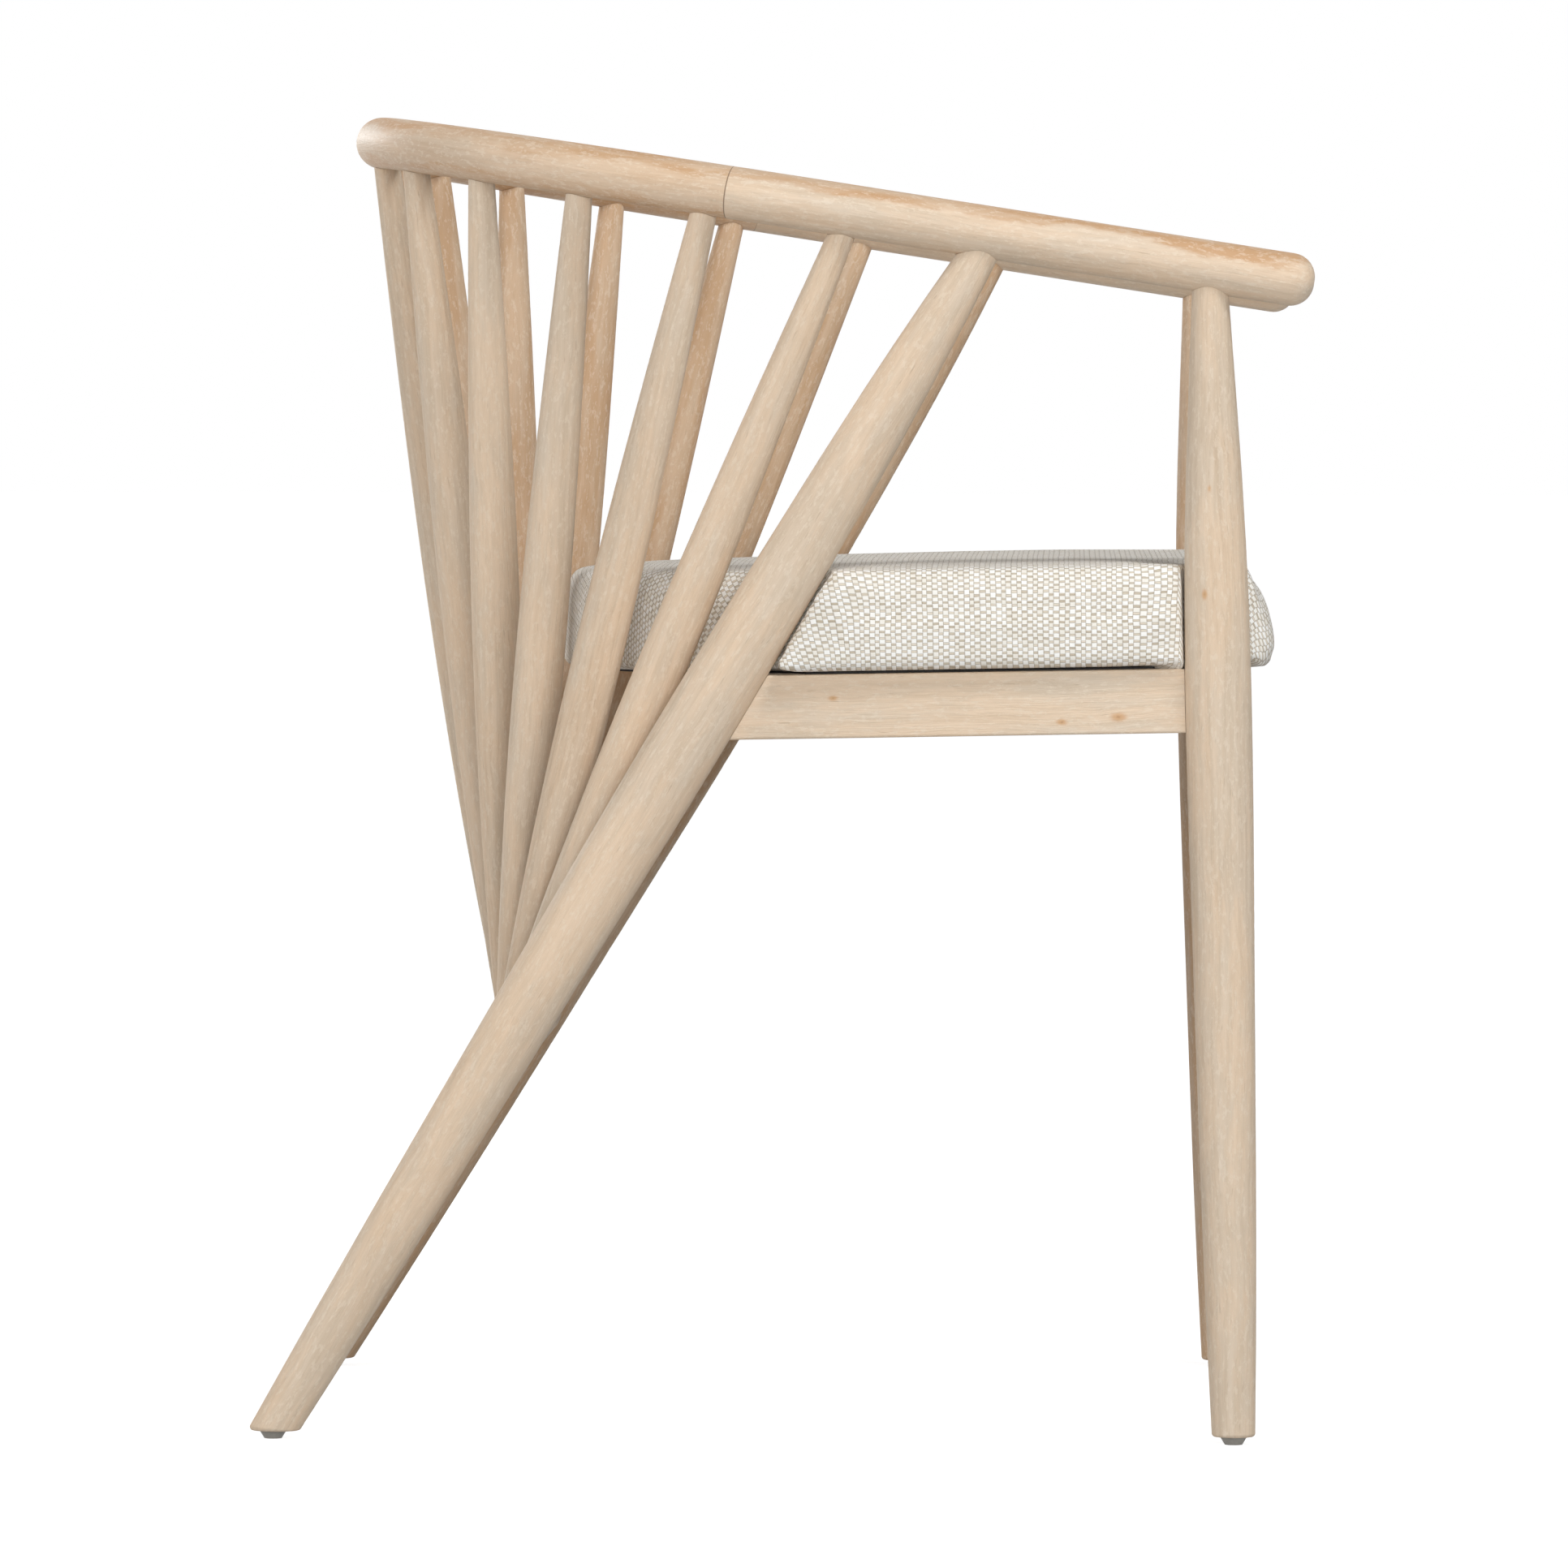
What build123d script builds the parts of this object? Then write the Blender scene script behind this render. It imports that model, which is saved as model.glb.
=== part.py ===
from build123d import *
from math import atan2, cos, degrees, hypot, pi, radians, sin, sqrt
import os

# Round-backed wooden armchair with a fan of turned spindles and a loose-look upholstered seat.
# Millimetres. +Z up, front of the chair towards -Y, floor at Z = 0.
# "left" and "right" are the sitter's: left is +X, right is -X.

os.makedirs("parts", exist_ok=True)

# ---- clearances ---------------------------------------------------------------------------
joint_clearance = 0.1      # all round a tenon, dowel or stem in its hole
end_clearance = 0.8        # beyond the end of a tenon, dowel or stem
shoulder_gap = 0.15        # between a coped shoulder and the round member it sits on
soft_gap = 0.3             # between cloth or foam and whatever is next to it
screw_clearance = 0.15     # all round a screw in wood

# ---- hoop: back rail and arms -------------------------------------------------------------
hoop_half_width = 288.0    # centre line of each arm from the middle
hoop_centre_y = -23.5      # where the straight arms turn into the curved back
hoop_height = 704.2        # height of the hoop's centre line at that place
hoop_slope = 8.7           # degrees, falling towards the front
hoop_diameter = 30.0
back_radius = 301.0        # gentler curve across the back
back_half_angle = 45.0     # half of the angle covered by the gentler curve
joint_angle = 12.0         # how far round each corner curve the arm pieces reach
arm_straight = 282.0       # straight part of an arm, to its front end
arm_end_rounding = 13.5
rail_dowel_diameter = 8.0
rail_dowel_length = 40.0
rail_dowel_raise = 7.0     # above the hoop's centre line, clear of the spindle tenons

# ---- legs ---------------------------------------------------------------------------------
front_leg_on_arm = 222.0   # along the arm from where the straight part starts
rear_leg_on_arm = 97.0
front_foot_inset = 14.4    # nearer the middle than the arm above it
front_foot_reach = 235.8   # in front of where the arms' straight parts start
rear_foot_inset = 28.5
rear_foot_reach = 316.1    # behind it
foot_height = 4.5          # wooden foot above the floor
foot_rounding = 2.0
leg_tenon_diameter = 15.0
leg_tenon_past_axis = 3.0  # how far the tenon goes past the arm's centre line

# share of the length from the floor to the arm's centre line, and diameter, along each leg
front_leg_profile = [(-0.03, 23.0), (0.07, 27.4), (0.2, 31.1), (0.43, 35.4), (0.61, 37.8),
                     (0.77, 34.7), (0.88, 28.0), (1.007, 18.8)]
rear_leg_profile = [(-0.03, 24.0), (0.06, 28.3), (0.16, 31.9), (0.43, 38.3), (0.58, 41.0),
                    (0.74, 38.0), (0.86, 33.0), (0.94, 26.4), (1.0065, 18.4)]

# ---- rear stretcher -----------------------------------------------------------------------
stretcher_height = 218.4
stretcher_diameter = 30.0
stretcher_tenon_diameter = 16.0

# ---- spindles -----------------------------------------------------------------------------
spindles_per_side = 6
spindle_to_leg = 80.6      # along the hoop, from the last spindle to the rear leg
stretcher_end_space = 56.0  # along the stretcher, from the last spindle to the rear leg
spindle_tenon_diameter = 11.0
spindle_tenon_past_axis = 1.0

# share of the length from the hoop's centre line, and diameter, along a spindle
spindle_profile = [(0.0, 14.2), (0.27, 23.7), (0.56, 28.4), (0.8, 23.9), (1.0, 13.4)]

# ---- seat frame ---------------------------------------------------------------------------
seat_front_height = 442.8  # top of the seat rails at the front legs
seat_tilt = 1.1            # degrees, falling towards the back
rail_height = 36.5
side_rail_thickness = 17.0
side_rail_setback = 7.0    # middle of a side rail, inside its legs' centre lines
cross_rail_thickness = 16.0
rail_tenon_height = 22.0
rail_tenon_thickness = 8.0
side_tenon_short_of_axis = 8.5
cross_tenon_short_of_axis = 7.0
rail_edge_rounding = 1.5
rear_rail_setback = 2.4    # middle of the rear rail, behind its legs' centre lines
block_side = 58.0
block_corner_clip = 22.0   # cut off the corner next to the leg
block_height = 24.0
block_drop = 4.0           # top of a corner block below the top of the rails

# ---- seat pad -----------------------------------------------------------------------------
pad_height = 61.5          # top of the pad above the top of the rails
pad_front_overhang = 36.0  # in front of the front legs' centre line
pad_nose_inset = 38.0      # side of the nose, inside the arms' centre lines
pad_back_inset = 38.0      # side of the rounded back where it begins, inside them too
pad_side_overhang = 10.0   # outside the legs' centre lines
pad_side_end = 3.1         # in front of the rear legs' centre lines, where the sides end
pad_back_start = 24.5      # in front of the sides' ends, where the rounded back begins
pad_back_depth = 150.0
leg_notch_gap = 2.0
pad_corner_rounding = 20.0
pad_top_rounding = 11.0
cover_thickness = 1.6
dust_cover_thickness = 0.9
dust_cover_inset = 16.0
board_thickness = 9.0

# ---- screws and glides --------------------------------------------------------------------
screw_shank = 4.0
screw_head = 8.0
screw_head_height = 2.6
block_screw_length = 28.0
seat_screw_length = 30.0
glide_top_diameter = 15.6
glide_bottom_diameter = 10.0
glide_stem_diameter = 5.0
glide_stem_length = 16.0

# ---- values that follow from the ones above ------------------------------------------------
hoop_radius = hoop_diameter / 2
stretcher_radius = stretcher_diameter / 2
turn = radians(back_half_angle)
corner_radius = (hoop_half_width - back_radius * sin(turn)) / (1 - sin(turn))
corner_x = (back_radius - corner_radius) * sin(turn)
back_centre_y = -(back_radius - corner_radius) * cos(turn)
back_arc_length = back_radius * turn
corner_arc_length = corner_radius * (pi / 2 - turn)
rear_leg_arc = back_arc_length + corner_arc_length + rear_leg_on_arm
spindle_top_pitch = (rear_leg_arc - spindle_to_leg) / (spindles_per_side - 0.5)
front_foot = (hoop_half_width - front_foot_inset, hoop_centre_y - front_foot_reach)
rear_foot = (hoop_half_width - rear_foot_inset, hoop_centre_y + rear_foot_reach)
slope = radians(hoop_slope)
hoop_plane = Plane(origin=(0, hoop_centre_y, hoop_height), x_dir=(1, 0, 0),
                   z_dir=(0, -sin(slope), cos(slope)))
tilt = radians(seat_tilt)


def hoop_point(arc, side):
    """Point on the hoop's centre line, a length `arc` round from the middle of the back."""
    if arc <= back_arc_length:
        angle = arc / back_radius
        x = back_radius * sin(angle)
        y = back_centre_y + back_radius * cos(angle)
    elif arc <= back_arc_length + corner_arc_length:
        angle = turn + (arc - back_arc_length) / corner_radius
        x = corner_x + corner_radius * sin(angle)
        y = corner_radius * cos(angle)
    else:
        x = hoop_half_width
        y = back_arc_length + corner_arc_length - arc
    return hoop_plane.from_local_coords(Vector(side * x, y, 0))


def arm_point(distance, side):
    """Point on an arm's centre line, `distance` forward of where its straight part starts."""
    return hoop_plane.from_local_coords(Vector(side * hoop_half_width, -distance, 0))


def rod(start, end, diameter, before=0.0, after=0.0):
    """Round bar from start to end, lengthened by `before` and `after`."""
    axis = end - start
    length = axis.length + before + after
    place = Plane(origin=start - axis.normalized() * before, z_dir=axis)
    return place * Pos(0, 0, length / 2) * Cylinder(diameter / 2, length)


def turned(start, end, stations, extra=0.0):
    """Turned member about the line start-end; stations are (share of its length, diameter)."""
    length = (end - start).length
    points = [Vector(diameter / 2 + extra, share * length) for share, diameter in stations]
    outline = Spline(points)
    rest = Polyline(points[-1], (0, points[-1].Y), (0, points[0].Y), points[0])
    profile = Plane.XZ * make_face([outline.edge(), *rest.edges()])
    return Plane(origin=start, z_dir=end - start) * revolve(profile, Axis.Z)


def at_height(line, height):
    """Where a leg's centre line passes a height."""
    foot, top = line
    share = (height - foot.Z) / (top.Z - foot.Z)
    return foot + (top - foot) * share


# ---- centre lines -------------------------------------------------------------------------
front_lines = {}
rear_lines = {}
for side in (1, -1):
    front_lines[side] = (Vector(side * front_foot[0], front_foot[1], 0),
                         arm_point(front_leg_on_arm, side))
    rear_lines[side] = (Vector(side * rear_foot[0], rear_foot[1], 0),
                        arm_point(rear_leg_on_arm, side))

stretcher_ends = {side: at_height(rear_lines[side], stretcher_height) for side in (1, -1)}


# ---- hoop ---------------------------------------------------------------------------------
def back_path():
    right_corner = CenterArc((corner_x, 0), corner_radius, joint_angle,
                             90 - back_half_angle - joint_angle)
    middle = CenterArc((0, back_centre_y), back_radius, 90 - back_half_angle,
                       2 * back_half_angle)
    left_corner = CenterArc((-corner_x, 0), corner_radius, 90 + back_half_angle,
                            90 - back_half_angle - joint_angle)
    return Wire([right_corner.edge(), middle.edge(), left_corner.edge()])


def arm_path(length):
    straight = Line((hoop_half_width, -length), (hoop_half_width, 0))
    bend = CenterArc((corner_x, 0), corner_radius, 0, joint_angle)
    return Wire([straight.edge(), bend.edge()])


def round_sweep(path, radius):
    start = Plane(origin=path @ 0, z_dir=path % 0)
    return sweep(start * Circle(radius), path=path)


def mirrored(shape):
    return mirror(shape, about=Plane.YZ)


back_rail = hoop_plane * round_sweep(back_path(), hoop_radius)
arm = hoop_plane * round_sweep(arm_path(arm_straight), hoop_radius)
arm_end = arm.faces().sort_by(Axis.Y)[0]
arm = fillet(arm_end.edges(), arm_end_rounding)

# slightly fatter copies, used to cope the tops of the legs and spindles
back_envelope = hoop_plane * round_sweep(back_path(), hoop_radius + shoulder_gap)
arm_envelope = hoop_plane * round_sweep(arm_path(arm_straight), hoop_radius + shoulder_gap)
stretcher_envelope = rod(stretcher_ends[-1], stretcher_ends[1],
                         stretcher_diameter + 2 * shoulder_gap)

# joint between an arm and the back rail: a dowel along the hoop
joint_arc = back_arc_length + corner_radius * (pi / 2 - turn - radians(joint_angle))
joint_place = hoop_point(joint_arc, 1)
joint_turn = radians(joint_angle)
joint_direction = (hoop_plane.from_local_coords(Vector(-sin(joint_turn), cos(joint_turn), 0))
                   - hoop_plane.origin)
dowel_middle = joint_place + hoop_plane.z_dir * rail_dowel_raise
dowel_start = dowel_middle - joint_direction * rail_dowel_length / 2
dowel_end = dowel_middle + joint_direction * rail_dowel_length / 2
rail_dowel = rod(dowel_start, dowel_end, rail_dowel_diameter)
dowel_hole = rod(dowel_start, dowel_end, rail_dowel_diameter + 2 * joint_clearance,
                 end_clearance, end_clearance)
arm -= dowel_hole
back_rail -= dowel_hole
back_rail -= mirrored(dowel_hole)

# ---- legs ---------------------------------------------------------------------------------
floor_cut = Pos(0, 0, foot_height - hoop_height / 2) * Box(4 * hoop_half_width,
                                                           4 * hoop_half_width, hoop_height)


def leg_body(line, profile, extra=0.0):
    """A turned leg along its raked centre line."""
    foot, top = line
    return turned(foot, top, profile, extra)


def make_leg(line, profile):
    foot, top = line
    body = leg_body(line, profile)
    body -= arm_envelope
    body -= floor_cut
    body = max(body.solids(), key=lambda solid: solid.volume)
    rim = body.faces().sort_by(Axis.Z)[0].edges()
    body = fillet(rim, foot_rounding)
    tenon_start = foot + (top - foot) * 0.85
    return body + rod(tenon_start, top, leg_tenon_diameter, 0, leg_tenon_past_axis)


def leg_tenon_hole(line):
    foot, top = line
    tenon_start = foot + (top - foot) * 0.85
    return rod(tenon_start, top, leg_tenon_diameter + 2 * joint_clearance, 0,
               leg_tenon_past_axis + end_clearance)


front_leg = make_leg(front_lines[1], front_leg_profile)
rear_leg = make_leg(rear_lines[1], rear_leg_profile)
front_leg_envelope = leg_body(front_lines[1], front_leg_profile, shoulder_gap)
rear_leg_envelope = leg_body(rear_lines[1], rear_leg_profile, shoulder_gap)
arm -= leg_tenon_hole(front_lines[1])
arm -= leg_tenon_hole(rear_lines[1])

# ---- rear stretcher -----------------------------------------------------------------------
stretcher = rod(stretcher_ends[-1], stretcher_ends[1], stretcher_diameter)
stretcher -= rear_leg_envelope
stretcher -= mirrored(rear_leg_envelope)
stretcher += rod(stretcher_ends[-1], stretcher_ends[1], stretcher_tenon_diameter)
stretcher_hole = rod(stretcher_ends[-1], stretcher_ends[1],
                     stretcher_tenon_diameter + 2 * joint_clearance, end_clearance, end_clearance)
rear_leg -= stretcher_hole

# ---- spindles -----------------------------------------------------------------------------
spindles = []
spindle_holes = []
stretcher_middle = (stretcher_ends[1] + stretcher_ends[-1]) * 0.5
spindle_bottom_pitch = (stretcher_ends[1].X - stretcher_end_space) / (spindles_per_side - 0.5)
for number in range(spindles_per_side):
    place = number + 0.5
    top = hoop_point(place * spindle_top_pitch, 1)
    bottom = stretcher_middle + Vector(place * spindle_bottom_pitch, 0, 0)
    body = turned(top, bottom, spindle_profile)
    body -= back_envelope
    body -= arm_envelope
    body -= stretcher_envelope
    body += rod(top, bottom, spindle_tenon_diameter, spindle_tenon_past_axis,
                spindle_tenon_past_axis)
    spindles.append(body)
    reach = spindle_tenon_past_axis + end_clearance
    spindle_holes.append(rod(top, bottom, spindle_tenon_diameter + 2 * joint_clearance,
                             reach, reach))

for hole in spindle_holes:
    back_rail -= hole
    back_rail -= mirrored(hole)
    stretcher -= hole
    stretcher -= mirrored(hole)
    arm -= hole

# ---- seat rails ---------------------------------------------------------------------------
rail_middle_drop = rail_height / 2
front_joint = at_height(front_lines[1], seat_front_height - rail_middle_drop)
seat_origin_y = front_joint.Y
seat_plane = Plane(origin=(0, seat_origin_y, seat_front_height), x_dir=(1, 0, 0),
                   z_dir=(0, sin(tilt), cos(tilt)))


def in_seat(point):
    return seat_plane.to_local_coords(point)


def above_seat(line, height):
    """Where a leg's centre line passes a height above the seat's plane, in the seat's frame."""
    foot, top = (in_seat(end) for end in line)
    return foot + (top - foot) * ((height - foot.Z) / (top.Z - foot.Z))


front_seat = above_seat(front_lines[1], -rail_middle_drop)
rear_seat = above_seat(rear_lines[1], -rail_middle_drop)


def seat_rail(start, end, thickness, envelopes, short_of_axis, shift=0.0):
    """Rail between two leg centre lines in the seat's own frame, and its tenons' mortises."""
    length = hypot(end.X - start.X, end.Y - start.Y)
    angle = degrees(atan2(end.Y - start.Y, end.X - start.X))
    place = seat_plane * Pos(start.X, start.Y, -rail_middle_drop) * Rot(0, 0, angle)
    place *= Pos(0, shift, 0)
    board = Pos(length / 2, 0, 0) * Box(length, thickness, rail_height)
    board = fillet(board.edges().filter_by(Axis.X), rail_edge_rounding)
    board = place * board
    for envelope in envelopes:
        board -= envelope
    tongue_length = length - 2 * short_of_axis
    tongue = Pos(length / 2, 0, 0) * Box(tongue_length, rail_tenon_thickness, rail_tenon_height)
    mortise = Pos(length / 2, 0, 0) * Box(tongue_length + 2 * end_clearance,
                                          rail_tenon_thickness + 2 * joint_clearance,
                                          rail_tenon_height + 2 * joint_clearance)
    return board + place * tongue, place * mortise


side_rail, side_mortise = seat_rail(front_seat, rear_seat, side_rail_thickness,
                                    [front_leg_envelope, rear_leg_envelope],
                                    side_tenon_short_of_axis, side_rail_setback)
front_rail, front_mortise = seat_rail(Vector(-front_seat.X, front_seat.Y), front_seat,
                                      cross_rail_thickness,
                                      [front_leg_envelope, mirrored(front_leg_envelope)],
                                      cross_tenon_short_of_axis)
rear_rail_y = rear_seat.Y + rear_rail_setback
rear_rail, rear_mortise = seat_rail(Vector(-rear_seat.X, rear_rail_y),
                                    Vector(rear_seat.X, rear_rail_y), cross_rail_thickness,
                                    [rear_leg_envelope, mirrored(rear_leg_envelope)],
                                    cross_tenon_short_of_axis)
front_leg -= side_mortise
front_leg -= front_mortise
rear_leg -= side_mortise
rear_leg -= rear_mortise

# ---- corner blocks and their screws ----------------------------------------------------------
block_middle = -block_drop - block_height / 2
side_angle = atan2(front_seat.X - rear_seat.X, rear_seat.Y - front_seat.Y)


def side_line_x(y):
    """The line between the left legs' centre lines, in the seat's frame."""
    share = (y - front_seat.Y) / (rear_seat.Y - front_seat.Y)
    return front_seat.X + (rear_seat.X - front_seat.X) * share


def side_face_x(y):
    """Inner face of the left side rail, in the seat's frame."""
    return side_line_x(y) - (side_rail_setback + side_rail_thickness / 2) / cos(side_angle)


def corner_block(y, inward):
    """Three-cornered block in the angle of two rails; `inward` is +1 at the front."""
    near_y = y + inward * cross_rail_thickness / 2
    clip_y = near_y + inward * block_corner_clip
    far_y = near_y + inward * block_side
    shape = make_face(Polyline((side_face_x(near_y) - block_corner_clip, near_y),
                               (side_face_x(near_y) - block_side, near_y),
                               (side_face_x(far_y), far_y),
                               (side_face_x(clip_y), clip_y), close=True))
    block = Pos(0, 0, block_middle - block_height / 2) * extrude(shape, block_height,
                                                                  dir=(0, 0, 1))
    return seat_plane * block


def screw(length):
    """Countersunk screw pointing up its own +Z, its head flush with Z = 0."""
    cone = Pos(0, 0, screw_head_height / 2) * Cone(screw_head / 2, screw_shank / 2,
                                                   screw_head_height)
    point_length = 5.0
    straight = length - screw_head_height - point_length
    shank = Pos(0, 0, screw_head_height + straight / 2) * Cylinder(screw_shank / 2, straight)
    point = Pos(0, 0, length - point_length / 2) * Cone(screw_shank / 2, 0.6, point_length)
    slot = Pos(0, 0, 0.6) * Box(screw_head * 0.6, 1.0, 1.2)
    cross = Rot(0, 0, 90) * slot
    return cone + shank + point - slot - cross


def screw_hole(length, shift=0.0):
    """Room for a screw: the same shape, a little larger and open at the head."""
    grow = screw_clearance
    cone = Pos(0, 0, screw_head_height / 2) * Cone(screw_head / 2 + grow,
                                                   screw_shank / 2 + grow, screw_head_height)
    mouth = Pos(0, 0, -5) * Cylinder(screw_head / 2 + grow, 10)
    bore_length = length + end_clearance - screw_head_height
    bore = Pos(0, 0, screw_head_height + bore_length / 2) * Cylinder(screw_shank / 2 + grow,
                                                                     bore_length)
    return cone + mouth + bore


def block_fixings(y, inward):
    """Places of a block's three screws: into the cross rail, the side rail and the board."""
    near_y = y + inward * cross_rail_thickness / 2
    near_x = side_face_x(near_y)
    at_cross = Vector(near_x - 40, near_y + inward * 14, block_middle)
    into_cross = Vector(0, -inward, 0)
    at_side = Vector(near_x - 14, near_y + inward * 40, block_middle)
    into_side = Vector(1, 0, 0)
    under = Vector(near_x - 25, near_y + inward * 25, block_middle - block_height / 2)
    return [(at_cross, into_cross), (at_side, into_side)], (under, Vector(0, 0, 1))


corner_blocks = {}
block_screws = []
seat_screws = []
block_screw_holes = []
seat_screw_holes = []
for name, y, inward in (("front", front_seat.Y, 1), ("rear", rear_rail_y, -1)):
    sideways, upward = block_fixings(y, inward)
    block = corner_block(y, inward)
    for place, direction in sideways:
        plane = Plane(origin=place, z_dir=direction)
        block_screws.append(seat_plane * plane * screw(block_screw_length))
        hole = seat_plane * plane * screw_hole(block_screw_length)
        block_screw_holes.append(hole)
        block -= hole
    plane = Plane(origin=upward[0], z_dir=upward[1])
    seat_screws.append(seat_plane * plane * screw(seat_screw_length))
    hole = seat_plane * plane * screw_hole(seat_screw_length)
    seat_screw_holes.append(hole)
    block -= hole
    corner_blocks[name] = block

for hole in block_screw_holes:
    side_rail -= hole
    front_rail -= hole
    front_rail -= mirrored(hole)
    rear_rail -= hole
    rear_rail -= mirrored(hole)

# ---- seat pad -----------------------------------------------------------------------------
pad_front = front_seat.Y - pad_front_overhang
pad_side = front_seat.X + pad_side_overhang
wing_back = above_seat(rear_lines[1], pad_height / 2).Y - pad_side_end
back_start = wing_back - pad_back_start
pad_nose_half_width = hoop_half_width - pad_nose_inset
pad_back_half_width = hoop_half_width - pad_back_inset


def rounded_slab(shape, bottom, top, edge_choice, rounding):
    """Straight-sided slab, with the chosen ones of its top edges rounded over."""
    slab = Pos(0, 0, bottom) * extrude(shape, top - bottom, dir=(0, 0, 1))
    if rounding <= 0:
        return slab
    rim = slab.faces().sort_by(Axis.Z)[-1].edges()
    return fillet(edge_choice(rim), rounding)


def pad_layer(inset, bottom, top, rounding=0.0):
    """Seat-shaped layer: nose between the front legs, wings over the rails, round back."""
    nose_end = (front_seat.Y + wing_back) / 2
    nose = Rectangle(2 * (pad_nose_half_width - inset), nose_end - pad_front - inset)
    nose = Pos(0, (nose_end + pad_front + inset) / 2) * nose
    nose = fillet(nose.vertices().group_by(Axis.Y)[0], pad_corner_rounding - inset)
    wings = Pos(0, (wing_back + front_seat.Y) / 2) * Rectangle(2 * (pad_side - inset),
                                                               wing_back - front_seat.Y)
    back = Pos(0, back_start) * Ellipse(pad_back_half_width - inset, pad_back_depth - inset)
    layer = rounded_slab(nose, bottom, top, lambda rim: rim.sort_by(Axis.Y)[:-1], rounding)
    layer += rounded_slab(wings, bottom, top, lambda rim: rim.filter_by(Axis.Y), rounding)
    layer += rounded_slab(back, bottom, top, lambda rim: rim, rounding)
    for line, profile in ((front_lines[1], front_leg_profile), (rear_lines[1], rear_leg_profile)):
        widest = max(diameter for height, diameter in profile)
        notch = rod(line[0], line[1], widest + 2 * (leg_notch_gap + inset))
        notch = seat_plane.to_local_coords(notch)
        layer -= notch
        layer -= mirrored(notch)
    return layer


dust_bottom = soft_gap
board_bottom = dust_bottom + dust_cover_thickness + soft_gap
foam_bottom = board_bottom + board_thickness + soft_gap
foam_top = pad_height - cover_thickness - soft_gap
cover_bottom = board_bottom - soft_gap
board_inset = cover_thickness + soft_gap

dust_cover = pad_layer(dust_cover_inset, dust_bottom, dust_bottom + dust_cover_thickness)
seat_board = pad_layer(board_inset, board_bottom, board_bottom + board_thickness)
foam = pad_layer(board_inset, foam_bottom, foam_top, pad_top_rounding - board_inset)
cover = pad_layer(0, cover_bottom, pad_height, pad_top_rounding)
cover -= pad_layer(cover_thickness, cover_bottom - 5, pad_height - cover_thickness,
                   pad_top_rounding - cover_thickness)

dust_cover = seat_plane * dust_cover
seat_board = seat_plane * seat_board
seat_foam = seat_plane * foam
seat_cover = seat_plane * cover
for hole in seat_screw_holes:
    seat_board -= hole
    seat_board -= mirrored(hole)
    dust_cover -= hole
    dust_cover -= mirrored(hole)


# ---- glides -------------------------------------------------------------------------------
def make_glide(line):
    """Tapered plastic glide with a stem up the middle of the foot."""
    foot = at_height(line, foot_height)
    pad = Pos(foot.X, foot.Y, foot_height / 2) * Cone(glide_bottom_diameter / 2,
                                                      glide_top_diameter / 2, foot_height)
    stem = Pos(foot.X, foot.Y, foot_height + glide_stem_length / 2) * Cylinder(
        glide_stem_diameter / 2, glide_stem_length)
    hole_length = glide_stem_length + end_clearance
    hole = Pos(foot.X, foot.Y, foot_height + hole_length / 2) * Cylinder(
        glide_stem_diameter / 2 + joint_clearance, hole_length)
    return pad + stem, hole


front_glide, front_glide_hole = make_glide(front_lines[1])
rear_glide, rear_glide_hole = make_glide(rear_lines[1])
front_leg -= front_glide_hole
rear_leg -= rear_glide_hole

# ---- write every piece ----------------------------------------------------------------------
pieces = {
    "back_rail": back_rail,
    "rear_stretcher": stretcher,
    "front_seat_rail": front_rail,
    "rear_seat_rail": rear_rail,
    "seat_board": seat_board,
    "seat_foam": seat_foam,
    "seat_cover": seat_cover,
    "dust_cover": dust_cover,
}
pairs = {
    "arm": arm,
    "front_leg": front_leg,
    "rear_leg": rear_leg,
    "side_seat_rail": side_rail,
    "corner_block_front": corner_blocks["front"],
    "corner_block_rear": corner_blocks["rear"],
    "glide_front": front_glide,
    "glide_rear": rear_glide,
}
for number, spindle in enumerate(spindles, 1):
    pairs["spindle_" + str(number)] = spindle
groups = {
    "rail_dowels": [rail_dowel],
    "corner_block_screws": block_screws,
    "seat_screws": seat_screws,
}

for name, shape in pairs.items():
    pieces[name + "_left"] = shape
    pieces[name + "_right"] = mirrored(shape)
for name, shapes in groups.items():
    both_sides = [*shapes, *[mirrored(shape) for shape in shapes]]
    pieces[name] = Compound(children=[solid for shape in both_sides for solid in shape.solids()])

for name, shape in pieces.items():
    solids = shape.solids()
    if name not in groups:
        shape = solids[0] if len(solids) == 1 else Compound(children=solids)
    export_step(shape, "parts/" + name + ".step")
    box = shape.bounding_box()
    print(name, len(solids), [round(v, 1) for v in (*box.min, *box.max)])
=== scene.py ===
from math import atan2, cos, pi, radians, sin

import bmesh
import bpy
import numpy as np
from mathutils import Matrix, Vector
from mathutils.kdtree import KDTree


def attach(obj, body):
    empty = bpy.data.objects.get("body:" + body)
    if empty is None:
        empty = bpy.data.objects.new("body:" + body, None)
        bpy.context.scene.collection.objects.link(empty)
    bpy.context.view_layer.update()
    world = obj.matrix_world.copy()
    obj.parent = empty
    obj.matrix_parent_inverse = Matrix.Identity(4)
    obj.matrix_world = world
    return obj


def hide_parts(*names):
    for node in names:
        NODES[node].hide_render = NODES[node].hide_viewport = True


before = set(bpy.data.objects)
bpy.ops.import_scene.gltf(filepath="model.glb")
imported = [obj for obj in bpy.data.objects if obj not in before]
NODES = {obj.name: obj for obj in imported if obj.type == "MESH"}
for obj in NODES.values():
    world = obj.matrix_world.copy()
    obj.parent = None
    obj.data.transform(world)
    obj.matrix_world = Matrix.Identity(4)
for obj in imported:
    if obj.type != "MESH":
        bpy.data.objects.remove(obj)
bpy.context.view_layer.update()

# ---- sizes shared with the CAD, in metres ---------------------------------------------------
HOOP_CENTRE_Y = -0.0235        # where the straight arms turn into the curved back
HOOP_HEIGHT = 0.7042
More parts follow.
